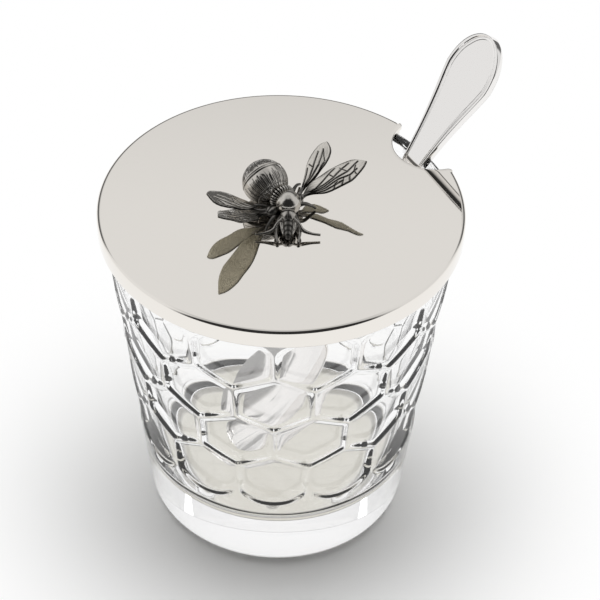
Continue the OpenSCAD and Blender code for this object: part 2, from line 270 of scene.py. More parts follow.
# %% Sizes of the cap
lid_r, lid_t, skirt_t, skirt_h, edge_round, lid_gap = 45.0, 1.2, 1.0, 5.0, 1.0, 0.2
notch_r, notch_rho, notch_az = 10.3, 45.8, math.radians(33.9)
lid_top = pot_h + lid_gap + lid_t
lid_under = lid_top - lid_t
hem_z = lid_top - skirt_h
corner_r = 1.2


# %% Outline of the cap
def arc(centre, radius, start, stop, count):
    """Points and outward normals on a circle's arc, turning from one angle to the other."""
    a = np.linspace(start, stop, count)
    out = np.stack([np.cos(a), np.sin(a)], -1)
    return np.asarray(centre) + radius * out, out


def lid_outline():
    """The outline, its normals and a flag that is 1 where the skirt hangs down.

    A fillet of radius c lies inside the edge, at distance R - c from the cap's middle, and outside the
    bite, at distance r + c from the bite's; the law of cosines gives its direction."""
    near, far = lid_r - corner_r, notch_r + corner_r
    swing = math.acos((near ** 2 + notch_rho ** 2 - far ** 2) / (2 * near * notch_rho))
    seen = math.pi - math.acos((far ** 2 + notch_rho ** 2 - near ** 2) / (2 * far * notch_rho))
    edge, edge_n = arc((0, 0), lid_r, swing, 2 * math.pi - swing, 361)
    low = near * np.array([math.cos(swing), -math.sin(swing)])
    high = near * np.array([math.cos(swing), math.sin(swing)])
    fillet_1, fillet_1n = arc(low, corner_r, -swing, math.pi - seen, 13)
    bite, bite_n = arc((notch_rho, 0), notch_r, 2 * math.pi - seen, seen, 73)
    fillet_2, fillet_2n = arc(high, corner_r, seen - math.pi, swing, 13)
    line = np.concatenate([edge, fillet_1[1:], bite[1:], fillet_2[1:-1]])
    normal = np.concatenate([edge_n, fillet_1n[1:], -bite_n[1:], fillet_2n[1:-1]])
    skirt = np.zeros(len(line))
    skirt[:len(edge)] = 1
    spin = np.array([[math.cos(notch_az), math.sin(notch_az)], [-math.sin(notch_az), math.cos(notch_az)]])
    doubled = [0, len(edge) - 1]
    keep = np.sort(np.concatenate([np.arange(len(line)), doubled]))
    skirt = skirt[keep]
    skirt[0] = 0
    skirt[len(edge) + 1] = 0
    return line[keep] @ spin, normal[keep] @ spin, skirt


def lid_surface():
    """Rings from the middle of the top, over the rounded edge, down the skirt and back under the top."""
    line, normal, skirt = lid_outline()
    hub = -15 * np.array([math.cos(notch_az), math.sin(notch_az)])

    def ring(inset, z_skirt, z_bite=None, inset_bite=None):
        z_bite = z_skirt if z_bite is None else z_bite
        inset_bite = inset if inset_bite is None else inset_bite
        step = np.where(skirt > 0, inset, inset_bite)[:, None]
        z = np.where(skirt > 0, z_skirt, z_bite)
        return np.concatenate([line - step * normal, z[:, None]], 1)

    flat = ring(edge_round + 0.06, lid_top)
    rings = []
    for share in (0.0, 0.3, 0.6, 0.85, 0.96, 1.0):
        flat_part = flat.copy()
        flat_part[:, :2] = hub + (flat[:, :2] - hub) * max(share, 0.002)
        rings.append(flat_part)
    small = 0.3
    for b in np.linspace(0, math.pi / 2, 9):
        s, c = math.sin(b), 1 - math.cos(b)
        rings.append(ring(edge_round * (1 - s), lid_top - edge_round * c,
                          lid_top - small * c, small * (1 - s)))
    hem = 0.3
    for b in np.linspace(0, math.pi / 2, 5):
        s, c = math.sin(b), 1 - math.cos(b)
        rings.append(ring(hem * c, hem_z + hem * (1 - s), lid_under + small * (1 - s), small * c))
    for b in np.linspace(math.pi / 2, 0, 5):
        s, c = math.sin(b), 1 - math.cos(b)
        rings.append(ring(skirt_t - hem * c, hem_z + hem * (1 - s), lid_under, small + 0.2 * (1 - s)))
    rings.append(ring(skirt_t, lid_under - 0.4, lid_under, 0.7))
    rings.append(ring(skirt_t + 0.4, lid_under))
    under = rings[-1]
    for share in (0.9, 0.5, 0.0):
        inner = under.copy()
        inner[:, :2] = hub + (under[:, :2] - hub) * max(share, 0.002)
        rings.append(inner)
    return np.stack(rings)


cap = shell("cap_shell", lid_surface())
weld(cap)
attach(cap, "cap")
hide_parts("lid")

# %% [markdown]
# ## The bee
# The bee is cast, darkened and then polished, so that the high parts shine and the hollows stay black.
# Its surfaces are worked out about the bee's own middle: +X towards the head, +Y to its left and Z up
# from the cap. Every surface carries one number for its darkness, 0 on the high parts and 1 deep in a
# groove, and the metal's material reads it. Besides the black oxide in the grooves it holds painted
# shade: under the thorax's dome, on the lower part of the head, under the front of the abdomen and at
# the wings' roots.

# %% Place of the bee
bee_x, bee_y, bee_az = 1.6, -4.7, math.radians(-54)


def on_bee(points):
    """Turns points about the bee's middle into the object's frame."""
    c, s = math.cos(bee_az), math.sin(bee_az)
    x, y, z = points[..., 0], points[..., 1], points[..., 2]
    return np.stack([bee_x + c * x - s * y, bee_y + s * x + c * y, lid_top + z], -1)


def frame_about(axis):
    """Three unit vectors: two square to the axis, the first nearest upright, and the axis itself."""
    axis = np.asarray(axis, float) / np.linalg.norm(axis)
    side = np.cross(axis, (0.0, 0.0, 1.0))
    side /= np.linalg.norm(side)
    return np.cross(side, axis), side, axis


class Castings:
    """Collects closed skins, each with its hollow values, and makes one object of them."""

    def __init__(self):
        self.points, self.quads, self.fans, self.hollow, self.count = [], [], [], [], 0

    def add(self, rings, hollow):
        """Closes one skin, turns it outwards and keeps it with its hollow values."""
        points = with_ends(rings)
        body, fans = skin_faces(*rings.shape[:2])
        if signed_volume(points, body) + signed_volume(points, fans) < 0:
            body, fans = body[:, ::-1], fans[:, ::-1]
        self.points.append(points)
        self.quads.append(body + self.count)
        self.fans.append(fans + self.count)
        self.hollow.append(with_ends(np.broadcast_to(hollow, rings.shape[:2])))
        self.count += len(points)

    def make(self, name, *nodes):
        """One object of all the skins, which rides on the cap and stands for the named nodes."""
        piece = make_mesh(name, on_bee(np.concatenate(self.points)),
                          [np.concatenate(self.quads), np.concatenate(self.fans)],
                          {"hollow": np.concatenate(self.hollow)}, closed=False)
        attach(piece, "cap")
        if nodes:
            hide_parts(*nodes)
        return piece


def ball(centre, axis, radii, rings, around):
    """An ellipsoid about an axis; returns its points, its angle from the axis's tail and its turn."""
    up, side, along = frame_about(axis)
    polar = np.linspace(0.02, math.pi - 0.02, rings)[:, None]
    turn = np.linspace(0, 2 * math.pi, around, endpoint=False)[None]
    across, long = np.sin(polar) + 0 * turn, -np.cos(polar) + 0 * turn
    local = (radii[0] * across * np.cos(turn))[..., None] * up
    local = local + (radii[1] * across * np.sin(turn))[..., None] * side
    local = local + (radii[2] * long)[..., None] * along
    return np.asarray(centre) + local, polar + 0 * turn, turn + 0 * polar


# %% [markdown]
# ### The abdomen
# The abdomen is a ball with a raised band round it. Behind the band it has short combed strokes, and in
# front long fine ones that run together towards the collar. Each stroke is a narrow groove with its own
# start, end and depth, drawn at random from a fixed seed.

# %% Abdomen
abdomen_r, abdomen_mid = 5.7, np.array([-8.7, -0.7, 5.75])
band_at, stroke_count = math.radians(75), 76
abdomen_axis = np.array([math.cos(math.radians(20)), 0, -math.sin(math.radians(20))])


def strokes(polar, turn, count, start, stop, width, seed):
    """Grooves along the meridians: count of them, each over its own stretch of the polar angle."""
    draw = np.random.default_rng(seed)
    begin = start + (stop - start) * 0.3 * draw.random(count)
    end = stop - (stop - start) * 0.45 * draw.random(count)
    depth = 0.35 + 0.65 * draw.random(count)
    place = (turn / (2 * math.pi) * count) % count
    index = np.floor(place).astype(int) % count
    reach = smooth_step((polar - begin[index]) / 0.08) * smooth_step((end[index] - polar) / 0.12)
    return depth[index] * reach * groove(place - np.floor(place) - 0.5, width)


def abdomen():
    """A ball whose radius loses the depth of each stroke and ring, and gains a low band."""
    points, polar, turn = ball(abdomen_mid, abdomen_axis, (abdomen_r,) * 3, 150, 380)
    rear = strokes(polar, turn, stroke_count, 0.28, band_at - 0.08, 0.24, 3)
    front = strokes(polar, turn, stroke_count, band_at + 0.08, 2.75, 0.2, 4)
    wide = strokes(polar, turn + 0.2, 26, band_at + 0.1, 2.6, 0.1, 5)
    rings = groove(polar - band_at + 0.062, 0.016) + groove(polar - band_at - 0.062, 0.016)
    rings = rings + 0.5 * groove(polar - 2.25, 0.02)
    cut = 0.16 * rear + 0.11 * front + 0.15 * wide + 0.3 * rings
    lift = 0.1 * groove(polar - band_at, 0.05)
    away = (points - abdomen_mid) / abdomen_r
    points = points + away * (lift - 0.1 - cut)[..., None]
    # Painted shade: a dark patch under the front of the abdomen, next to the thorax.
    painted_underside_shade = groove(polar - 2.3, 0.5) * groove((turn + 0.2) % (2 * math.pi) - math.pi, 0.9)
    hollow = np.clip(1.1 * rear + 0.9 * front + wide + rings + 0.6 * painted_underside_shade, 0, 1)
    body = Castings()
    body.add(points, hollow)
    return body.make("bee_abdomen_cast", "bee_abdomen")


abdomen_piece = abdomen()

# %% [markdown]
# ### Collar and thorax
# The collar is a ring of ribs, a torus whose thickness swings with the angle round it. The thorax is a
# smooth dome over the foot that takes the screw, with a boss on each side for a pair of wings.

# %% Collar and thorax
thorax_r, thorax_z, collar_x, collar_big, collar_small, rib_count = 3.1, 4.9, -2.7, 2.5, 0.8, 26


def collar():
    """A torus whose tube is thick on each rib and thin between: r = small * (0.66 + 0.34 * rib)."""
    around = np.linspace(0, 2 * math.pi, rib_count * 12, endpoint=False)[None]
    section = np.linspace(0, 2 * math.pi, 28)[:, None]
    rib = 0.5 + 0.5 * np.cos(rib_count * around) + 0 * section
    rib = smooth_step(rib * 1.3)
    thick = collar_small * (0.66 + 0.34 * rib)
    ring = collar_big + thick * np.cos(section)
    points = np.stack([collar_x + 1.15 * thick * np.sin(section), ring * np.cos(around),
                       thorax_z + ring * np.sin(around)], -1)
    rings, count = points.shape[:2]
    i, j = np.meshgrid(np.arange(rings - 1), np.arange(count), indexing="ij")
    skin = points[:-1].reshape(-1, 3)
    quad = np.stack([i * count + j, i * count + (j + 1) % count,
                     (i + 1) % (rings - 1) * count + (j + 1) % count, (i + 1) % (rings - 1) * count + j], -1)
    piece = make_mesh("bee_collar_ring", on_bee(skin), [quad.reshape(-1, 4)],
                      {"hollow": (1.05 - rib[:-1]).ravel()})
    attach(piece, "cap")
    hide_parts("bee_collar")
    return piece


def turned_post(radius_height):
    """A solid of revolution about the bee's own Z axis, from pairs of radius and height."""
    turn = np.linspace(0, 2 * math.pi, 48, endpoint=False)[None]
    pairs = np.array(radius_height)
    return np.stack([pairs[:, :1] * np.cos(turn), pairs[:, :1] * np.sin(turn), pairs[:, 1:] + 0 * turn], -1)


def thorax():
    """A dome on a turned foot, and a ridged boss on each side for the wings."""
    body = Castings()
    points, polar, turn = ball((0, 0, thorax_z), (1, 0, 0), (thorax_r, thorax_r, thorax_r), 60, 72)
    # Painted shade: the smooth dome darkens towards its lower part.
    body.add(points, smooth_step((thorax_z - 0.6 - points[..., 2]) / 1.2))
    post = turned_post([(2.6, 0.0), (2.6, 0.5), (2.4, 0.8), (2.4, 2.4), (1.6, 3.2)])
    body.add(post, 1.0)
    for side in (-1, 1):
        boss, polar, turn = ball((-1.5, 3.6 * side, 3.0), (0, side, 0.1), (1.5, 1.7, 1.7), 32, 40)
        ridge = 0.5 + 0.5 * np.cos(turn * 7 + 3 * polar)
        boss = boss - (boss - np.array([-1.5, 3.6 * side, 3.0])) * (0.09 * ridge)[..., None]
        body.add(boss, np.clip(0.35 + 0.6 * ridge, 0, 1))
    return body.make("bee_thorax_cast", "bee_thorax")


collar_piece, thorax_piece = collar(), thorax()

# %% [markdown]
# ### Bars for legs and antennae
# A leg is a thin bar along a few listed points, fatter at the joints. The bar's rings are
# carried along the line: each is square to the line's own direction, and its radius is read off the
# same stretch.


# %% A bar along a line
def carried(points, radii, steps=10, around=14):
    """A tube along a Catmull-Rom line through the points; its radius runs from one value to the next."""
    points, radii = np.asarray(points, float), np.asarray(radii, float)
    knots = np.arange(len(points))
    t = np.linspace(0, len(points) - 1, steps * (len(points) - 1) + 1)
    padded = np.concatenate([2 * points[:1] - points[1:2], points, 2 * points[-1:] - points[-2:-1]])
    i = np.minimum(t.astype(int), len(points) - 2)
    f = (t - i)[:, None]
    a, b, c, d = (padded[i + k] for k in range(4))
    square, cube = 2 * a - 5 * b + 4 * c - d, 3 * b - a - 3 * c + d
    line = 0.5 * (2 * b + (c - a) * f + square * f ** 2 + cube * f ** 3)
    radius = np.interp(t, knots, radii)
    along = np.gradient(line, axis=0)
    along /= np.linalg.norm(along, axis=1)[:, None]
    side = np.cross(along, [0.1, 0.2, 1.0])
    side /= np.linalg.norm(side, axis=1)[:, None]
    up = np.cross(side, along)
    turn = np.linspace(0, 2 * math.pi, around, endpoint=False)
    ring = np.cos(turn)[None, :, None] * side[:, None] + np.sin(turn)[None, :, None] * up[:, None]
    return line[:, None] + radius[:, None, None] * ring


# %% [markdown]
# ### Head, legs and antennae
# The head hangs forward and down from the dome and narrows to a blunt snout. An eye stands out on each
# side of the brow. The front legs reach past the head, and the others lie beside and behind the body.

# %% Head
head_turn, head_droop = math.radians(-35.5), math.radians(29)


def turned_head(points):
    """Swings points about the bee's Z axis by the turn of the head."""
    c, s = math.cos(head_turn), math.sin(head_turn)
    points = np.asarray(points, float)
    return np.stack([c * points[..., 0] - s * points[..., 1], s * points[..., 0] + c * points[..., 1],
                     points[..., 2]], -1)


def head():
    """A ball with a furrow and a brow line, a tapering snout, and an eye and a cheek on each side."""
    body = Castings()
    skull_mid, skull_radii = np.array([3.5, 0, 3.6]), (2.0, 2.0, 2.1)
    forward = (math.cos(head_droop), 0, -math.sin(head_droop))
    skull, polar, turn = ball(skull_mid, forward, skull_radii, 56, 72)
    furrow = groove(skull[..., 1], 0.2) * smooth_step((skull[..., 0] - 3.6) / 0.6)
    brow = groove(polar - 1.15, 0.09) * smooth_step((skull[..., 2] - 3.4) / 0.8)
    skull = skull - (skull - skull_mid) * (0.1 * furrow + 0.07 * brow)[..., None]
    # Painted shade: the skull darkens on its lower part.
    below = smooth_step((3.8 - skull[..., 2]) / 0.8)
    body.add(turned_head(skull), np.clip(0.3 + furrow + brow + 0.5 * below, 0, 1))
    snout = carried([(4.0, 0, 3.4), (5.6, 0, 2.55), (7.0, 0, 1.75), (8.2, 0, 1.05), (8.7, 0, 0.85)],
                    [1.6, 1.3, 0.95, 0.72, 0.35], 12, 36)
    along = snout[..., 0]
    body.add(turned_head(snout), np.clip(0.75 + 0.2 * np.sin(along * 7), 0, 1))
    for side in (-1, 1):
        eye, polar, turn = ball((4.1, 1.35 * side, 3.75), (0.5, side, 0.3), (1.1, 0.9, 0.6), 28, 36)
        body.add(turned_head(eye), 0.75)
        cheek = carried([(4.8, 1.5 * side, 2.7), (6.2, 1.35 * side, 2.0), (7.6, 0.95 * side, 1.3)],
                        [0.55, 0.5, 0.28], 8, 16)
        body.add(turned_head(cheek), 0.12)
    return body.make("bee_head_cast", "bee_head")


# %% Legs and antennae
front_leg = [(2.0, 1.7, 2.6), (4.2, 2.5, 2.3), (6.6, 2.9, 1.6), (8.8, 2.6, 0.75), (9.6, 2.5, 0.5)]
rear_legs = [
    [(-0.2, 2.3, 2.0), (0.3, 4.4, 2.7), (0.8, 6.4, 1.5), (1.2, 7.4, 0.5)],
    [(-1.7, 1.7, 1.7), (-4.4, 4.6, 3.2), (-6.8, 7.4, 2.2), (-8.4, 9.6, 0.5)],
]
leg_thick, front_thick = [0.42, 0.5, 0.38, 0.3], [0.42, 0.45, 0.4, 0.3, 0.42]
antenna_thick = [0.34, 0.36, 0.5, 0.34, 0.3]
antenna_line = [(4.6, 1.2, 4.2), (5.9, 2.6, 3.4), (6.9, 3.6, 2.2), (7.3, 5.6, 1.5), (7.4, 7.8, 1.2)]


def legs():
    """Three legs on each side: the front one turns with the head, the others stay with the body."""
    body = Castings()
    for side in (-1, 1):
        body.add(turned_head(carried(np.array(front_leg) * (1, side, 1), front_thick)), 0.55)
        for line in rear_legs:
            body.add(carried(np.array(line) * (1, side, 1), leg_thick), 0.7)
    return body.make("bee_leg_sprigs", "bee_legs")


def antennae():
    """A feeler on each side, thickest at its elbow."""
    body = Castings()
    for side in (-1, 1):
        body.add(turned_head(carried(np.array(antenna_line) * (1, side, 1), antenna_thick)), 0.3)
    return body.make("bee_antenna_sprigs", "bee_antennae")


bee_bits = [head(), legs(), antennae()]

# %% [markdown]
# ### The wings
# A wing is a thin cast blade. Its outline is a few measured widths on each side of its length, joined by
# a smooth curve, and its veins are lines cut into the upper face: each point's distance to the nearest
# vein gives the depth of the cut. The underside is only dimpled, and painted paler, as if lit by the
# light that the bright cap throws up at it.

# %% Shapes of the wings
forewing = {
    "lead": [(0, 0.012), (0.13, 0.05), (0.3, 0.122), (0.45, 0.148), (0.67, 0.15), (0.84, 0.112),
             (0.95, 0.055), (1, 0.006)],
    "trail": [(0, 0.02), (0.08, 0.085), (0.2, 0.15), (0.36, 0.172), (0.53, 0.18), (0.68, 0.178),
              (0.83, 0.137), (0.94, 0.058), (1, 0.006)],
    "veins": [
        [(0.03, 0.0), (0.2, -0.004), (0.42, -0.098), (0.55, -0.15)],
        [(0.03, 0.0), (0.32, 0.0), (0.48, -0.018), (0.64, -0.088), (0.76, -0.118)],
        [(0.05, 0.01), (0.3, 0.028), (0.52, 0.006), (0.7, -0.008), (0.89, -0.064)],
        [(0.05, 0.015), (0.33, 0.055), (0.56, 0.04), (0.72, 0.058), (0.84, 0.03)],
        [(0.06, 0.018), (0.3, 0.082), (0.46, 0.092), (0.6, 0.086)],
        [(0.45, -0.1), (0.5, -0.02)],
        [(0.62, -0.11), (0.7, -0.01)],
        [(0.44, 0.125), (0.47, 0.088), (0.52, 0.06)],
        [(0.56, 0.13), (0.6, 0.086), (0.62, 0.05)],
        [(0.68, 0.125), (0.7, 0.09), (0.71, 0.056)],
        [(0.8, 0.09), (0.79, 0.046), (0.84, -0.03)],
    ],
}
hindwing = {
    "lead": [(0, 0.014), (0.15, 0.05), (0.3, 0.1), (0.5, 0.14), (0.65, 0.168), (0.8, 0.16),
             (0.91, 0.12), (0.98, 0.045), (1, 0.01)],
    "trail": [(0, 0.014), (0.15, 0.045), (0.3, 0.09), (0.5, 0.15), (0.65, 0.165), (0.84, 0.145),
              (0.93, 0.1), (0.98, 0.045), (1, 0.01)],
    "veins": [
        [(0.04, 0.0), (0.3, 0.013), (0.51, -0.01), (0.79, -0.07)],
        [(0.05, 0.01), (0.2, 0.05), (0.44, 0.112), (0.65, 0.128)],
        [(0.05, 0.005), (0.39, 0.047), (0.58, 0.063), (0.86, 0.0)],
        [(0.06, -0.01), (0.28, -0.05), (0.45, -0.1)],
        [(0.52, -0.1), (0.5, -0.01)],
        [(0.86, 0.0), (0.76, 0.06), (0.68, 0.12)],
    ],
}
# The right hindwing stands more upright and shows its full width.
broad_trail = [(0, 0.03), (0.1, 0.11), (0.25, 0.19), (0.45, 0.225), (0.65, 0.225), (0.82, 0.185),
               (0.92, 0.125), (0.98, 0.05), (1, 0.01)]
broad_hindwing = dict(hindwing, trail=broad_trail)
# Shape, side, root, length, and the forward sweep, upward bend and roll of each wing.
wing_sets = {
    "forewing_left": (forewing, 1, -1.9, 17.8, (25, 30, 20)),
    "forewing_right": (forewing, -1, -1.9, 18.8, (14, 30.4, 3)),
    "hindwing_left": (hindwing, 1, -3.1, 14.6, (-23, 32.2, -3)),
    "hindwing_right": (broad_hindwing, -1, -3.1, 15.0, (-25, 28.6, 2)),
}
wing_t, wing_out, wing_z = 0.5, 5.9, 2.8


# %% Wing surface
def smooth_through(pairs, x):
    """Hermite curve through the pairs: slopes from the neighbours, flat where they turn."""
    px, py = np.array(pairs, float).T
    step = np.diff(py) / np.diff(px)
    between = np.where(step[1:] * step[:-1] > 0, (step[1:] + step[:-1]) / 2, 0)
    slope = np.concatenate([step[:1], between, step[-1:]])
    i = np.clip(np.searchsorted(px, x) - 1, 0, len(px) - 2)
    w = px[i + 1] - px[i]
    f = (x - px[i]) / w
    return (py[i] * (1 + 2 * f) * (1 - f) ** 2 + py[i + 1] * f * f * (3 - 2 * f)
            + w * slope[i] * f * (1 - f) ** 2 + w * slope[i + 1] * f * f * (f - 1))


def distance_to_line(x, y, line):
    """Least distance from each point to a broken line."""
    best = np.full(x.shape, 1e9)
    for (ax, ay), (bx, by) in zip(line[:-1], line[1:]):
        dx, dy = bx - ax, by - ay
        f = np.clip(((x - ax) * dx + (y - ay) * dy) / (dx * dx + dy * dy), 0, 1)
        best = np.minimum(best, np.hypot(x - ax - f * dx, y - ay - f * dy))
    return best


def wing(name):
    """A blade on a grid of length and width: its top is camber + thickness - veins, its underside
    camber - thickness."""
    shape, side, root_x, length, bend = wing_sets[name]
    tip = 0.94 + 0.06 * np.sin(np.linspace(0, math.pi / 2, 22)[1:])
    u = np.concatenate([np.linspace(0, 0.94, 170), tip])
    w = np.linspace(-1, 1, 61)
    lead, trail = smooth_through(shape["lead"], u) * length, smooth_through(shape["trail"], u) * length
    across = np.where(w[None] < 0, w[None] * lead[:, None], w[None] * trail[:, None])
    x = u[:, None] * length + 0 * across
    vein = np.zeros_like(x)
    for line in shape["veins"]:
        mm = [(a * length, -b * length) for a, b in line]
        vein = np.maximum(vein, groove(distance_to_line(x, across, mm), 0.17))
    edge = np.minimum(across + lead[:, None], trail[:, None] - across)
    thick = wing_t / 2 * np.sqrt(np.clip(1 - w[None] ** 8, 0, 1)) * (0.55 + 0.45 * (1 - u[:, None] ** 6))
    rim = groove(across + lead[:, None] - 0.32, 0.26)
    camber = -0.055 * across ** 2 / (0.3 * wing_out) + 0.12 * np.sin(x * 0.9)
    grain = np.sin(across * 9 + 2 * np.sin(x * 1.7)) * np.sin(x * 2.3 + across)
    top = camber + thick - 0.14 * vein * smooth_step(edge / 0.3) + 0.1 * rim
    dimple = np.sin(x * 5.2 + 1.7 * np.sin(across * 4)) * np.sin(across * 6.1 + 1.3 * np.sin(x * 3))
    under = camber - thick + 0.035 * dimple
    upper = np.stack([x, across, top], -1)
    lower = np.stack([x, across, under], -1)[:, ::-1]
    rings = np.concatenate([upper, lower[:, 1:-1]], 1)
    dark_rim = groove(across + lead[:, None] - 0.1, 0.3) * smooth_step((u[:, None] - 0.08) / 0.1)
    # Painted shade: the blade darkens towards its root, beside the body.
    root_shade = 0.75 * smooth_step((0.26 - u[:, None]) / 0.2) + 0 * x
    hollow_top = np.clip(vein + 0.9 * dark_rim + root_shade + 0.14 * grain, 0, 1)
    hollow_low = np.clip(0.1 + 0.22 * (dimple > 0.35) + 0.5 * root_shade + 0.5 * dark_rim, 0, 1)[:, ::-1]
    hollow = np.concatenate([hollow_top, hollow_low[:, 1:-1]], 1)
    bottom = np.concatenate([0 * hollow_top, 1 + 0 * hollow_low[:, 1:-1]], 1)
    rings = turn_wing(rings, *bend)
    rings = (rings + (root_x, wing_out, wing_z)) * (1, side, 1)
    piece = shell(name, on_bee(rings), {"hollow": hollow, "under": bottom})
    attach(piece, "cap")
    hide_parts("bee_" + name)
    return piece


def turn_wing(points, sweep, lift, roll):
    """Rolls about X, lifts the tip about Y and sweeps about Z, in that order."""
    roll, lift, swing = math.radians(roll), math.radians(lift), math.radians(90 - sweep)
    x, y, z = points[..., 0], points[..., 1], points[..., 2]
    y, z = y * math.cos(roll) - z * math.sin(roll), y * math.sin(roll) + z * math.cos(roll)
    x, z = x * math.cos(lift) - z * math.sin(lift), x * math.sin(lift) + z * math.cos(lift)
    x, y = x * math.cos(swing) - y * math.sin(swing), x * math.sin(swing) + y * math.cos(swing)
    return np.stack([x, y, z], -1)


wings = [wing(name) for name in wing_sets]


# %% Wing roots
def wing_roots():
    """A short stalk from each boss to its wing, which hides where the blade's end is let in."""
    body = Castings()
    for name, (shape, side, root_x, length, bend) in wing_sets.items():
        start = (root_x + 1.0, 3.4, 3.0)
        end = turn_wing(np.array([2.2, 0, 0]), *bend) + (root_x, wing_out, wing_z)
        middle = (root_x + 0.1, wing_out - 0.5, wing_z + 0.1)
        line = np.array([start, middle, tuple(end)]) * (1, side, 1)
        body.add(carried(line, [0.75, 0.62, 0.2], 10, 16), 0.7)
    return body.make("bee_wing_stalks")


stalk_piece = wing_roots()

# %% [markdown]
# ## The spoon
# The spoon is struck from one blank: a handle with a rounded nose and a reeded border, a thin neck and
# an egg-shaped bowl. Its half-width is a formula in the distance from the handle's end, and the
# reeds are a height that depends only on the distance to the outline.

# %% Sizes of the spoon
spoon_len, handle_w, nose_len, taper_len, neck_w, handle_t = 130.0, 17.0, 11.5, 19.0, 4.2, 2.1
bowl_len, bowl_w, bowl_depth, bowl_t, neck_drop, tip_lift = 43.0, 25.0, 5.0, 1.2, 2.2, 2.6
spoon_lean, spoon_az, rest_gap, floor_gap = math.radians(33.8), math.radians(30), 0.5, 0.6
spoon_side, neck_start = 0.5, 48.0
spoon_rho = rim_in_r - (handle_t + rest_gap) / math.cos(spoon_lean) + rim_round * 0.35
bowl_tip = -(pot_h - base_t - floor_gap - bowl_t * math.sin(spoon_lean)) / math.cos(spoon_lean)
bowl_start = spoon_len - bowl_len


# %% Spoon surface
def spoon_half(t):
    """Half-width: a rounded nose, a bell curve down to the neck, and an egg for the bowl."""
    bluntness, bell = 2.2, 1.3
    back = np.abs(1 - np.minimum(t, nose_len) / nose_len) ** bluntness
    nose = np.sqrt(np.clip(1 - back, 0, None)) * handle_w / 2
    fall = np.exp(-(np.clip(t - nose_len, 0, None) / taper_len) ** bell)
    tail = neck_w / 2 + (handle_w - neck_w) / 2 * fall
    share = np.clip((t - bowl_start) / bowl_len, 0, 1)
    bowl = bowl_w / 2 * share ** 0.6 * (1 - share) ** 0.5 / 0.4686
    return np.where(t < nose_len, nose, tail) * (1 - smooth_step(1.6 * share)) + bowl


def reeds(depth, border):
    """Height of the border at a depth inside the outline: an edge bead, a groove and a thread."""
    q = depth / border
    bead = 0.26 * np.sqrt(np.clip(1 - ((q - 0.24) / 0.24) ** 2, 0, 1))
    thread = 0.16 * np.sqrt(np.clip(1 - ((q - 0.74) / 0.13) ** 2, 0, 1))
    floor = -0.2 * smooth_step((q - 0.44) / 0.08) + 0.16 * smooth_step((q - 0.9) / 0.14)
    return bead + thread + floor


def spoon_rings():
    """Rings across the spoon, from the nose to the tip: the face with its reeds, then the plain back."""
    nose = nose_len * np.linspace(0.004, 1, 60) ** 1.6
    t = np.concatenate([nose, np.arange(nose_len + 0.4, 60, 0.55), np.arange(60.5, bowl_start, 1.2)])
    dip = 1 - (1 - np.linspace(0, 1, 60)) ** 1.5
    t = np.concatenate([t, bowl_start + bowl_len * (0.01 + 0.982 * dip)])
    half = spoon_half(t)
    share = np.clip((t - bowl_start) / bowl_len, 0, 1)
    back = neck_drop * smooth_step((t - neck_start) / (bowl_start - neck_start)) - tip_lift * share ** 2
    dish = bowl_depth * np.clip(np.sin(math.pi * share), 0, None) ** 0.8
    thin = smooth_step((t - bowl_start + 6) / 14)
    thick = handle_t * (1 - thin) + bowl_t * thin
    k = np.sin(np.linspace(-1, 1, 97) * math.pi / 2 * 0.94) / math.sin(math.pi / 2 * 0.94)
    y = half[:, None] * k[None]
    outline = [(float(a), float(b)) for a, b in zip(t[::2], half[::2])]
    depth = distance_to_line(t[:, None] + 0 * y, np.abs(y), [(0.0, 0.0)] + outline)
    border = np.clip(0.3 * half, 0.5, 2.1)[:, None]
    fade = (1 - smooth_step((t - 52) / 14))[:, None]
    curve = dish[:, None] * (1 - k[None] ** 2)
    front = back[:, None] + curve - reeds(depth, border) * fade * 0.75 - 0.12 * fade
    rear_k = k[::-6]
    rear = back[:, None] + dish[:, None] * (1 - rear_k[None] ** 2) + thick[:, None] * (
        0.72 + 0.28 * np.sqrt(np.clip(1 - rear_k[None] ** 4, 0, 1)))
    z = (bowl_tip + spoon_len - t)[:, None]
    face = np.stack([front, y, z + 0 * y], -1)
    reverse = np.stack([rear, half[:, None] * rear_k[None], z + 0 * rear], -1)
    return np.concatenate([face, reverse], 1)


def in_pot(points):
    """Leans the spoon about Y, swings it round Z and stands it in the notch."""
    x, y, z = points[..., 0], points[..., 1], points[..., 2]
    c, s = math.cos(spoon_lean), math.sin(spoon_lean)
    x, z = x * c + z * s, -x * s + z * c
    x, y, z = x + spoon_rho, y + spoon_side, z + pot_h
    c, s = math.cos(spoon_az), math.sin(spoon_az)
    return np.stack([x * c - y * s, x * s + y * c, z], -1)


spoon = shell("spoon_struck", in_pot(spoon_rings()))
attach(spoon, "spoon")
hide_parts("spoon")

# %% [markdown]
# ## Materials
# One function turns a hex colour into linear light, and one adds a node with its settings and links.


# %% Colour and node helpers
def linear(hex_colour):
    """sRGB hex to linear: c / 12.92 below 0.04045, else ((c + 0.055) / 1.055) ^ 2.4."""
    c = np.array([int(hex_colour[i:i + 2], 16) for i in (1, 3, 5)]) / 255
    return tuple(np.where(c <= 0.04045, c / 12.92, ((c + 0.055) / 1.055) ** 2.4)) + (1.0,)


def add(tree, kind, settings=None, **inputs):
    """Adds a node; settings are its own properties, inputs are values or sockets to link from."""
    node = tree.nodes.new(kind)
    for key, value in (settings or {}).items():
        setattr(node, key, value)
    for key, value in inputs.items():
        socket = node.inputs[int(key[1:])] if key[1:].isdigit() else node.inputs[key.replace("_", " ")]
        if isinstance(value, bpy.types.NodeSocket):
            tree.links.new(value, socket)
        else:
            socket.default_value = value
    return node


def new_material(name):
    """An empty material and its node tree."""
    material = bpy.data.materials.new(name)
    material.use_nodes = True
    material.node_tree.nodes.clear()
    return material, material.node_tree


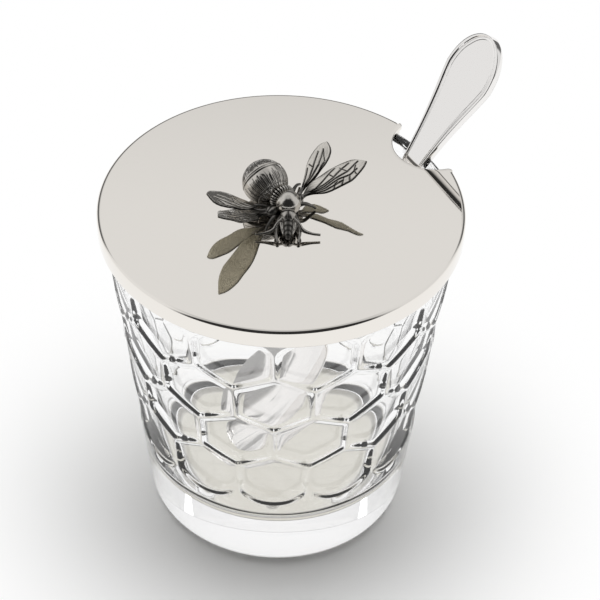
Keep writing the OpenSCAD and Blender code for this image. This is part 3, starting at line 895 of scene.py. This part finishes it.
def wear(material, *pieces):
    """Gives each piece this one material."""
    for piece in pieces:
        piece.data.materials.clear()
        piece.data.materials.append(material)


def finish_metal(tree, colour, rough, normal):
    """A metal's surface: Principled with metallic 1 and the default IOR."""
    shader = add(tree, "ShaderNodeBsdfPrincipled", Metallic=1.0, Base_Color=colour, Roughness=rough,
                 Normal=normal)
    add(tree, "ShaderNodeOutputMaterial", Surface=shader.outputs[0])
    return shader


# %% Crystal, silver plate, oxidised castings and steel
def crystal():
    """Crystal, polished after cutting: perfectly clear, with the high IOR that makes it sparkle."""
    material, tree = new_material("polished_crystal")
    shader = add(tree, "ShaderNodeBsdfPrincipled", Base_Color=linear("#FEFEFE"), Roughness=0.0, IOR=1.54,
                 Transmission_Weight=1.0)
    add(tree, "ShaderNodeOutputMaterial", Surface=shader.outputs[0])
    return material


def silver_plate(name, colour, rough, scale_mm):
    """Silver plate buffed to a mirror: faint ripples of the sheet and hairlines left by the mop."""
    material, tree = new_material(name)
    place = add(tree, "ShaderNodeTexCoord").outputs["Object"]
    ripple = add(tree, "ShaderNodeTexNoise", Vector=place, Scale=1000 / scale_mm, Detail=2.0)
    bump = add(tree, "ShaderNodeBump", Height=ripple.outputs[0], Strength=0.02, Distance=0.0002)
    stretched = add(tree, "ShaderNodeMapping", Vector=place, Scale=(900.0, 4200.0, 900.0))
    hair = add(tree, "ShaderNodeTexNoise", Vector=stretched.outputs[0], Scale=1.0, Detail=3.0)
    polish = add(tree, "ShaderNodeMapRange", Value=hair.outputs[0], To_Min=rough * 0.6, To_Max=rough * 1.5)
    finish_metal(tree, linear(colour), polish.outputs[0], bump.outputs[0])
    return material


def oxidised_silver():
    """Cast silver blackened with sulphide, then rubbed bright on the high parts; its darkness also carries
    the painted shade laid into the bee's surfaces.
    """
    material, tree = new_material("oxidised_cast_silver")
    place = add(tree, "ShaderNodeTexCoord").outputs["Object"]
    hollow = add(tree, "ShaderNodeAttribute", {"attribute_name": "hollow"}).outputs["Fac"]
    blotch = add(tree, "ShaderNodeTexNoise", Vector=place, Scale=900.0, Detail=4.0)
    shade = add(tree, "ShaderNodeMath", {"operation": "MULTIPLY_ADD"}, _0=blotch.outputs[0],
                _1=0.5, _2=-0.25)
    depth = add(tree, "ShaderNodeMath", {"operation": "ADD", "use_clamp": True}, _0=hollow,
                _1=shade.outputs[0])
    colour = add(tree, "ShaderNodeMix", {"data_type": "RGBA"}, Factor=depth.outputs[0])
    colour.inputs[6].default_value, colour.inputs[7].default_value = linear("#C8C4BE"), linear("#161514")
    rough = add(tree, "ShaderNodeMapRange", Value=depth.outputs[0], To_Min=0.16, To_Max=0.5)
    grain = add(tree, "ShaderNodeTexNoise", Vector=place, Scale=2600.0, Detail=3.0)
    bump = add(tree, "ShaderNodeBump", Height=grain.outputs[0], Strength=0.25, Distance=0.00006)
    finish_metal(tree, colour.outputs[2], rough.outputs[0], bump.outputs[0])
    return material


def wing_silver():
    """The wings' castings: bright above with blackened veins, and underneath painted light: a paler, warmer
    and less metallic face, as if lit from the bright cap below.
    """
    material, tree = new_material("engraved_wing_silver")
    place = add(tree, "ShaderNodeTexCoord").outputs["Object"]
    hollow = add(tree, "ShaderNodeAttribute", {"attribute_name": "hollow"}).outputs["Fac"]
    under = add(tree, "ShaderNodeAttribute", {"attribute_name": "under"}).outputs["Fac"]
    # Painted light: the underside is paler and warmer than the top, as light thrown up from the cap shows
    # it.
    face = add(tree, "ShaderNodeMix", {"data_type": "RGBA"}, Factor=under)
    face.inputs[6].default_value, face.inputs[7].default_value = linear("#D2CEC7"), linear("#E6E1CC")
    colour = add(tree, "ShaderNodeMix", {"data_type": "RGBA"}, Factor=hollow)
    tree.links.new(face.outputs[2], colour.inputs[6])
    colour.inputs[7].default_value = linear("#201E1C")
    rough = add(tree, "ShaderNodeMapRange", Value=hollow, To_Min=0.2, To_Max=0.55)
    grain = add(tree, "ShaderNodeTexNoise", Vector=place, Scale=1800.0, Detail=4.0)
    bump = add(tree, "ShaderNodeBump", Height=grain.outputs[0], Strength=0.3, Distance=0.00008)
    shader = finish_metal(tree, colour.outputs[2], rough.outputs[0], bump.outputs[0])
    # Painted light: the underside is only a little metallic, so the room lights its pale face.
    metal_share = add(tree, "ShaderNodeMapRange", Value=under, To_Min=1.0, To_Max=0.2)
    tree.links.new(metal_share.outputs[0], shader.inputs["Metallic"])
    return material


def plain_steel():
    """A turned steel screw: fine rings from the tool."""
    material, tree = new_material("turned_steel")
    place = add(tree, "ShaderNodeTexCoord").outputs["Object"]
    rings = add(tree, "ShaderNodeTexNoise", Vector=place, Scale=3000.0, Detail=2.0)
    bump = add(tree, "ShaderNodeBump", Height=rings.outputs[0], Strength=0.2, Distance=0.00005)
    finish_metal(tree, linear("#A3A29F"), 0.32, bump.outputs[0])
    return material


wear(crystal(), glass)
wear(silver_plate("buffed_silver_plate_cap", "#EDE9E3", 0.035, 22.0), cap)
wear(silver_plate("buffed_silver_plate_spoon", "#F0EEEC", 0.06, 9.0), spoon)
cast = oxidised_silver()
wear(cast, abdomen_piece, collar_piece, thorax_piece, stalk_piece, *bee_bits)
wear(wing_silver(), *wings)
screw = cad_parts["bee_screw"]
wear(plain_steel(), screw)

# %% [markdown]
# ## The studio
# The pot stands on a white table in a room painted with cards of light. They are bright overhead, high
# behind the pot and on both sides. Low behind the pot metal meets a dark card and glass a narrow grey
# one, and the walls beside the camera are dark: the edges of these cards put the dark lines into the
# metal and the glass. Glass gets a brighter room than metal, and the camera itself sees plain white.
# One softbox overhead gives the soft shadow, and metal and glass don't mirror the lamp itself.


# %% Floor
def floor():
    """A wide flat disc with a soft shadow, which fades to pure white away from the pot."""
    turn = np.linspace(0, 2 * math.pi, 96, endpoint=False)[None]
    radius = np.array([1.0, 60, 120, 300, 900, 2500])[:, None]
    points = np.stack([radius * np.cos(turn), radius * np.sin(turn), 0 * turn + 0 * radius - 0.05], -1)
    rings, around = points.shape[:2]
    flat = np.concatenate([points.reshape(-1, 3), [[0, 0, -0.05]]])
    faces = [ring_faces(rings, around), fan_faces(len(flat) - 1, 0, around)]
    piece = make_mesh("floor", flat, faces, closed=False)
    material, tree = new_material("white_table_painted_glow")
    place = add(tree, "ShaderNodeTexCoord").outputs["Object"]
    span = add(tree, "ShaderNodeVectorMath", {"operation": "LENGTH"}, _0=place).outputs["Value"]
    soft = {"interpolation_type": "SMOOTHSTEP"}
    far = add(tree, "ShaderNodeMapRange", soft, Value=span, From_Min=0.034, From_Max=0.1)
    rays = add(tree, "ShaderNodeLightPath").outputs
    seen = add(tree, "ShaderNodeMath", {"operation": "MAXIMUM"}, _0=rays["Is Camera Ray"],
               _1=rays["Is Glossy Ray"])
    through = rays["Is Transmission Ray"]
    seen = add(tree, "ShaderNodeMath", {"operation": "MAXIMUM"}, _0=seen.outputs[0], _1=through)
    part = add(tree, "ShaderNodeMath", {"operation": "MULTIPLY"}, _0=far.outputs[0], _1=seen.outputs[0])
    # Painted light: a ray through the glass sees the table only as this glow, not as lit paint.
    part = add(tree, "ShaderNodeMath", {"operation": "MAXIMUM"}, _0=part.outputs[0], _1=through)
    paint = add(tree, "ShaderNodeBsdfDiffuse", Color=linear("#F6F6F5"))
    # Painted light: through the glass the table glows cream under the pot, in place of the light the
    # glass lets through, with a grey ring of painted contact shadow where the foot meets it.
    outside = add(tree, "ShaderNodeMapRange", soft, Value=span, From_Min=0.026, From_Max=0.042)
    tone = add(tree, "ShaderNodeMix", {"data_type": "RGBA"}, Factor=outside.outputs[0])
    tone.inputs[6].default_value, tone.inputs[7].default_value = linear("#D6D3C9"), (1, 1, 1, 1)
    # Painted shadow: the grey ring of contact under the foot's edge.
    begins = add(tree, "ShaderNodeMapRange", soft, Value=span, From_Min=0.0285, From_Max=0.031)
    ends = add(tree, "ShaderNodeMapRange", soft, Value=span, From_Min=0.034, From_Max=0.037,
               To_Min=1.0, To_Max=0.0)
    contact_shadow = add(tree, "ShaderNodeMath", {"operation": "MULTIPLY"}, _0=begins.outputs[0],
                  _1=ends.outputs[0])
    painted_glow_colour = add(tree, "ShaderNodeMix", {"data_type": "RGBA"}, Factor=contact_shadow.outputs[0])
    tree.links.new(tone.outputs[2], painted_glow_colour.inputs[6])
    painted_glow_colour.inputs[7].default_value = linear("#9B9891")
    white = add(tree, "ShaderNodeEmission", Color=painted_glow_colour.outputs[2], Strength=1.0)
    both = add(tree, "ShaderNodeMixShader", Fac=part.outputs[0], _1=paint.outputs[0], _2=white.outputs[0])
    add(tree, "ShaderNodeOutputMaterial", Surface=both.outputs[0])
    wear(material, piece)
    return piece


floor()


# %% Room light
# Each card: from and to azimuth (0 is straight behind the pot, 90 is to the right), from and to height,
# both in degrees, the softness of its edges, and its brightness for metal and for glass.
cards = [
    (-180, 180, 62, 95, 8, 0.62, 0.9),
    (-80, 80, 36, 66, 5, 0.84, 0.95),
    (-80, 80, -8, 30, 5, 0.14, 0.8),
    (-70, 70, 9, 22, 3, 0.14, 0.42),
    (-118, -62, -6, 58, 6, 0.88, 1.0),
    (58, 112, -6, 58, 6, 0.82, 1.0),
    (-190, -124, -4, 74, 7, 0.03, 0.35),
    (122, 190, -4, 74, 7, 0.03, 0.35),
]


def room():
    """A sphere of light painted with cards, each laid over the ones before it."""
    world = bpy.data.worlds.new("room")
    bpy.context.scene.world = world
    world.use_nodes = True
    tree = world.node_tree
    tree.nodes.clear()
    toward = add(tree, "ShaderNodeTexCoord").outputs["Generated"]
    x, y, z = add(tree, "ShaderNodeSeparateXYZ", Vector=toward).outputs
    turn = add(tree, "ShaderNodeMath", {"operation": "ARCTAN2"}, _0=x, _1=y)
    height = add(tree, "ShaderNodeMath", {"operation": "ARCSINE"}, _0=z)
    rays = add(tree, "ShaderNodeLightPath").outputs

    def edge(value, at, soft, rising):
        """0 to 1 across an angle in degrees if rising, else 1 to 0, over `soft` degrees each way."""
        a, b = math.radians(at - soft), math.radians(at + soft)
        return add(tree, "ShaderNodeMapRange", {"interpolation_type": "SMOOTHSTEP"}, Value=value,
                   From_Min=a, From_Max=b, To_Min=float(not rising), To_Max=float(rising)).outputs[0]

    sky, plain = 0.6, {"data_type": "FLOAT"}
    for left, right, low, high, soft, metal, glassy in cards:
        cover = None
        for side in (edge(turn.outputs[0], left, soft, True), edge(turn.outputs[0], right, soft, False),
                     edge(height.outputs[0], low, soft, True), edge(height.outputs[0], high, soft, False)):
            cover = side if cover is None else add(tree, "ShaderNodeMath", {"operation": "MULTIPLY"},
                                                   _0=cover, _1=side).outputs[0]
        tone = add(tree, "ShaderNodeMix", plain, Factor=rays["Is Transmission Ray"], A=metal, B=glassy)
        sky = add(tree, "ShaderNodeMix", plain, Factor=cover, A=sky, B=tone.outputs[0]).outputs[0]
    shade = add(tree, "ShaderNodeMix", plain, Factor=rays["Is Camera Ray"], A=sky, B=1.0)
    light = add(tree, "ShaderNodeBackground", Color=(1, 1, 1, 1), Strength=shade.outputs[0])
    add(tree, "ShaderNodeOutputWorld", Surface=light.outputs[0])


room()


# %% Lamps
def softbox(name, place_mm, aim_mm, width_mm, height_mm, watts):
    """A rectangular lamp that faces a point: its -Z axis runs from its place to the aim."""
    data = bpy.data.lights.new(name, "AREA")
    data.shape, data.size, data.size_y, data.energy = "RECTANGLE", width_mm * MM, height_mm * MM, watts
    lamp = bpy.data.objects.new(name, data)
    back = np.array(place_mm, float) - np.array(aim_mm, float)
    back /= np.linalg.norm(back)
    side = np.cross([0, 1, 0.01], back)
    side /= np.linalg.norm(side)
    matrix = np.eye(4)
    matrix[:3, 0], matrix[:3, 1], matrix[:3, 2] = side, np.cross(back, side), back
    matrix[:3, 3] = np.array(place_mm) * MM
    lamp.matrix_world = Matrix(matrix.tolist())
    bpy.context.scene.collection.objects.link(lamp)
    lamp.visible_glossy = False
    return lamp


softbox("softbox_above", (0, 160, 750), (0, 0, 40), 900, 650, 4.0)

# %% View settings and the last line
bpy.context.scene.view_settings.view_transform = "Standard"
